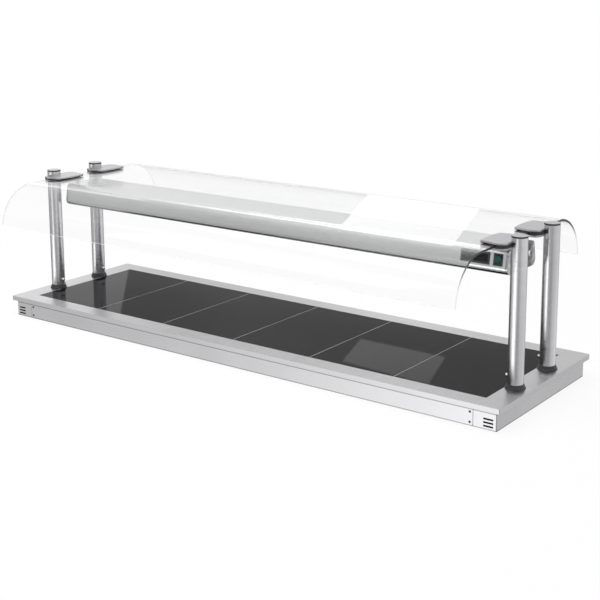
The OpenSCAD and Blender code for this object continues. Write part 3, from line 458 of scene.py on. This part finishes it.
# Controls: a moulded black frame round a smoked screen with the controller behind it, and beside
# it a rocker switch, whose green lens tilts in a black case.
screen, wire, place = new_finish("screen")
smoke = noise(wire, place, 60.0)
coat_surface(screen, wire, Base_Color=smoke.tint((0.007, 0.008, 0.009), (0.016, 0.017, 0.019)),
    Metallic=0.0, Roughness=smoke * 0.08 + 0.06, IOR=1.25)
rounded_copy("window_frame", "control_bezel", "shelf", black_plastic,
    edge=0.0005, steps=3)
rounded_copy("window", "control_screen", "shelf", screen, edge=0.0003)
dress(grey_plastic, "controller_case")
rounded_copy("switch_frame", "switch_case", "shelf", black_plastic, edge=0.0004)
rocker_lens, wire, place = new_finish("rocker_lens")
tone = noise(wire, place, 120.0)
coat_surface(rocker_lens, wire,
    Base_Color=tone.tint((0.005, 0.036, 0.029), (0.010, 0.062, 0.052)),
    Metallic=0.0, Roughness=tone * 0.1 + 0.18, IOR=1.3)
rounded_copy("rocker_key", "switch_rocker", "rocker", rocker_lens, edge=0.0006, steps=3)

# Floor: a plain pale sheet that turns white away from the object and keeps its shadow. Metal and
# glass mirror the studio's surround instead of it, so it is clear to them.
floor_paint, wire, place = new_finish("floor_paint")
paper = noise(wire, place, 3.0)
path = wire.node("ShaderNodeLightPath", None, None, "Is Camera Ray")
away = wire.node("ShaderNodeVectorMath", {"operation": "LENGTH"}, {0: place}, "Value")
shadow_room, white_room, whiteness = 1.3, 3.0, 0.88
seen = path.maths("MAXIMUM", path.out("Is Transmission Ray"))
seen = seen * away.between(shadow_room, white_room, whiteness, 1.0)
mirrored = path.out("Glossy Depth").maths("GREATER_THAN", 0.5)
plain = wire.node("ShaderNodeBsdfDiffuse", None,
    {"Color": paper.tint((0.86, 0.86, 0.86), (0.88, 0.88, 0.88))})
glow = wire.node("ShaderNodeEmission", None, {"Color": (1, 1, 1, 1), "Strength": 1.0})
painted = wire.node("ShaderNodeMixShader", None, {0: seen, 1: plain, 2: glow})
clear = wire.node("ShaderNodeBsdfTransparent")
surface = wire.node("ShaderNodeMixShader", None, {0: mirrored, 1: painted, 2: clear})
wire.node("ShaderNodeOutputMaterial", None, {"Surface": surface})
sheet = bmesh.new()
bmesh.ops.create_grid(sheet, x_segments=1, y_segments=1, size=14)
floor_mesh = bpy.data.meshes.new("floor")
sheet.to_mesh(floor_mesh)
sheet.free()
floor_mesh.materials.append(floor_paint)
floor = bpy.data.objects.new("floor", floor_mesh)
bpy.context.scene.collection.objects.link(floor)

# Studio: a white surround, and in it what the metal and the glass mirror. A turn is a compass
# direction in degrees, 0 straight in front of the shelf and positive to its right. A height runs
# from -1, straight down, to 1, straight up.
studio = bpy.data.worlds.new("studio")
studio.use_nodes = True
studio.node_tree.nodes.clear()
studio.cycles.sampling_method = "NONE"
bpy.context.scene.world = studio
wire = Wire(studio.node_tree)
east, north, height = axes(wire, wire.node("ShaderNodeTexCoord", output="Generated"))


def toward(turn, wide, narrow):
    """1 within the narrow angle of a turn, 0 outside the wide one."""
    level = (1.0 - height * height).maths("SQRT")
    straight = (north * -cos(radians(turn)) + east * sin(radians(turn))) / level
    return straight.between(cos(radians(wide)), cos(radians(narrow)))


def past(value, edge, soft=0.001):
    """1 where a value is past an edge, with a soft step."""
    return (value - edge).between(-soft, soft)


# Surround below the horizon: its brightness at each turn, a darker counter under it, and a hood on
# the front left that darkens what is mirrored low down or through the canopy.
path = wire.node("ShaderNodeLightPath", None, None, "Glossy Depth")
through_glass = path.out("Transmission Depth")
brightest, counter = 2.5, 0.45
greys = ((-180, 0.45), (-140, 0.30), (-107, 0.24), (-86, 0.30), (-74, 0.40), (-56, 0.85),
    (-46, 1.00), (-38, 1.14), (-31, 2.00), (-19, 2.25), (-6, 1.60), (4, 1.00), (12, 0.50),
    (23, 0.32), (36, 0.36), (50, 0.44), (64, 0.60), (80, 0.70), (110, 0.72), (127, 0.85),
    (150, 0.88), (180, 0.45))
stops = [((turn + 180) / 360, (grey / brightest,) * 3 + (1,)) for turn, grey in greys]
plan = east.node("ShaderNodeMath", {"operation": "ARCTAN2"}, {0: east, 1: north * -1.0})
round_about = wire.node("ShaderNodeValToRGB", {"stops": stops}, {"Fac": plan * (0.5 / pi) + 0.5})
low = wire.node("ShaderNodeSeparateColor", None, {"Color": round_about}) * brightest
deep = 1.0 - height.between(-0.80, -0.65)
low = low * (1.0 - deep) + deep * counter
under = 1.0 - height.between(-0.60, -0.50)
hooded = toward(-38, 26, 14) * past(through_glass, 1.5, 0.1).maths("MAXIMUM", under)
low = low * (1.0 - hooded) + hooded * counter

# Horizon and overhead: a band along the horizon, darker in front and on the left, and above it a
# pale ceiling that is dimmer in front and behind, with one light strip over the front left.
band, front_shade, left_shade = 0.97, 0.34, 0.15
in_front = toward(-35, 85, 50)
horizon = band - in_front * front_shade - toward(-37, 13, 7) * left_shade
rise = (height + toward(-42, 24, 12) * 0.07).between(-0.20, -0.08)
sky = (height - in_front * 0.16).between(0.06, 0.16)
front_dim, patch_dim, rear_dim, strip_light = 0.25, 0.20, 0.14, 0.55
patch = toward(-131, 10, 4) * height.between(0.20, 0.25) * (1.0 - height.between(0.32, 0.38))
behind = toward(-145, 40, 25) * height.between(0.23, 0.27)
ceiling = 1.0 - in_front * front_dim - patch * patch_dim - behind * rear_dim
strip = toward(-50, 10, 4) * height.between(0.46, 0.50) * (1.0 - height.between(0.60, 0.66))

# White cards stand behind the object on an upright board. The top card shows in the canopy above
# the housing, and the tile card in the black tiles. Each slanted edge is given as a place across
# the board, the height there and the lean.
board_turn, card_light = radians(36.653), 0.9
ahead = (north * cos(board_turn) - east * sin(board_turn)).maths("MAXIMUM", 0.05)
across = (east * cos(board_turn) + north * sin(board_turn)) / ahead
tall = height / ahead


def right_of(place, level, lean):
    """1 to the right of an edge that passes through a place at a height."""
    return past(across, place + (tall - level) * lean)


def above(place, level, lean):
    """1 above an edge that passes through a place at a height."""
    return past(tall, level + (across - place) * lean)


top_card = right_of(0.0449, 0.2067, -0.82) * (1.0 - right_of(0.1322, 0.2300, -0.63))
top_card = top_card * past(tall, 0.17) * (1.0 - past(tall, 0.245))
tile_card = right_of(0.0525, 0.3151, -0.77) * (1.0 - right_of(0.1244, 0.3314, -0.58))
tile_card = tile_card * above(0.0525, 0.3151, 0.227) * (1.0 - above(0.0373, 0.3348, 0.282))
side_card = (1.0 - right_of(-0.1412, 0.2544, -0.21)) * past(across, -0.5, 0.1)
side_card = side_card * past(tall, 0.22, 0.03) * (1.0 - past(tall, 0.38, 0.03))
cards = top_card * card_light + tile_card + side_card * card_light
cards = cards * (1.0 - past(through_glass, 0.5, 0.1)) * past(ahead, 0.2, 0.05)

# Light of the studio: gloss sees the surround, the ceiling and the cards, and everything else a
# plain white room, a little under full strength where it lights the surfaces.
room_light = 0.85
gloss = (low * (1.0 - rise) + rise * horizon) * (1.0 - sky) + sky * ceiling
gloss = gloss + strip * strip_light + cards
lit = path.out("Diffuse Depth").maths("GREATER_THAN", 0.5)
shiny = path.maths("GREATER_THAN", 0.5) * (1.0 - lit)
strength = lit * room_light + shiny * gloss + (1.0 - lit) * (1.0 - shiny)
room = wire.node("ShaderNodeBackground", None, {"Color": (1, 1, 1, 1), "Strength": strength})
wire.node("ShaderNodeOutputWorld", None, {"Surface": room})

# Lamps: two large softboxes, one overhead and one in front on the left. They light the surfaces
# and don't show in the metal.


def soft_lamp(name, size, place, power, aim=(0, 0, 0.2)):
    """A square softbox that faces a point."""
    lamp = bpy.data.lights.new(name, "AREA")
    lamp.size = size
    lamp.energy = power
    box = bpy.data.objects.new(name, lamp)
    bpy.context.scene.collection.objects.link(box)
    box.location = place
    box.rotation_euler = (Vector(place) - Vector(aim)).to_track_quat("Z", "Y").to_euler()
    box.visible_glossy = False


soft_lamp("overhead", 3.0, (-0.4, -0.6, 3.4), 45.0)
soft_lamp("front", 2.0, (-2.2, -3.4, 1.9), 25.0)

# Camera, fitted to the photograph. The shift is part of the fit: the photograph's uprights converge
# less than a plain camera's do when it looks down as steeply.
azimuth, elevation, roll = radians(36.542), radians(11.066), radians(-0.214)
back = Vector((sin(azimuth) * cos(elevation), -cos(azimuth) * cos(elevation), sin(elevation)))
right = Vector((0, 0, 1)).cross(back).normalized()
up = back.cross(right)
tilted_right = cos(roll) * right + sin(roll) * up
tilted_up = cos(roll) * up - sin(roll) * right
lens = bpy.data.cameras.new("camera")
lens.lens = 74.138
lens.sensor_width = 36
lens.shift_y = -1 / 6
camera = bpy.data.objects.new("camera", lens)
bpy.context.scene.collection.objects.link(camera)
camera.matrix_world = Matrix((tilted_right, tilted_up, back)).transposed().to_4x4()
camera.location = (2.5967, -3.3542, 1.3521)
bpy.context.scene.camera = camera
bpy.context.scene.view_settings.view_transform = "Standard"
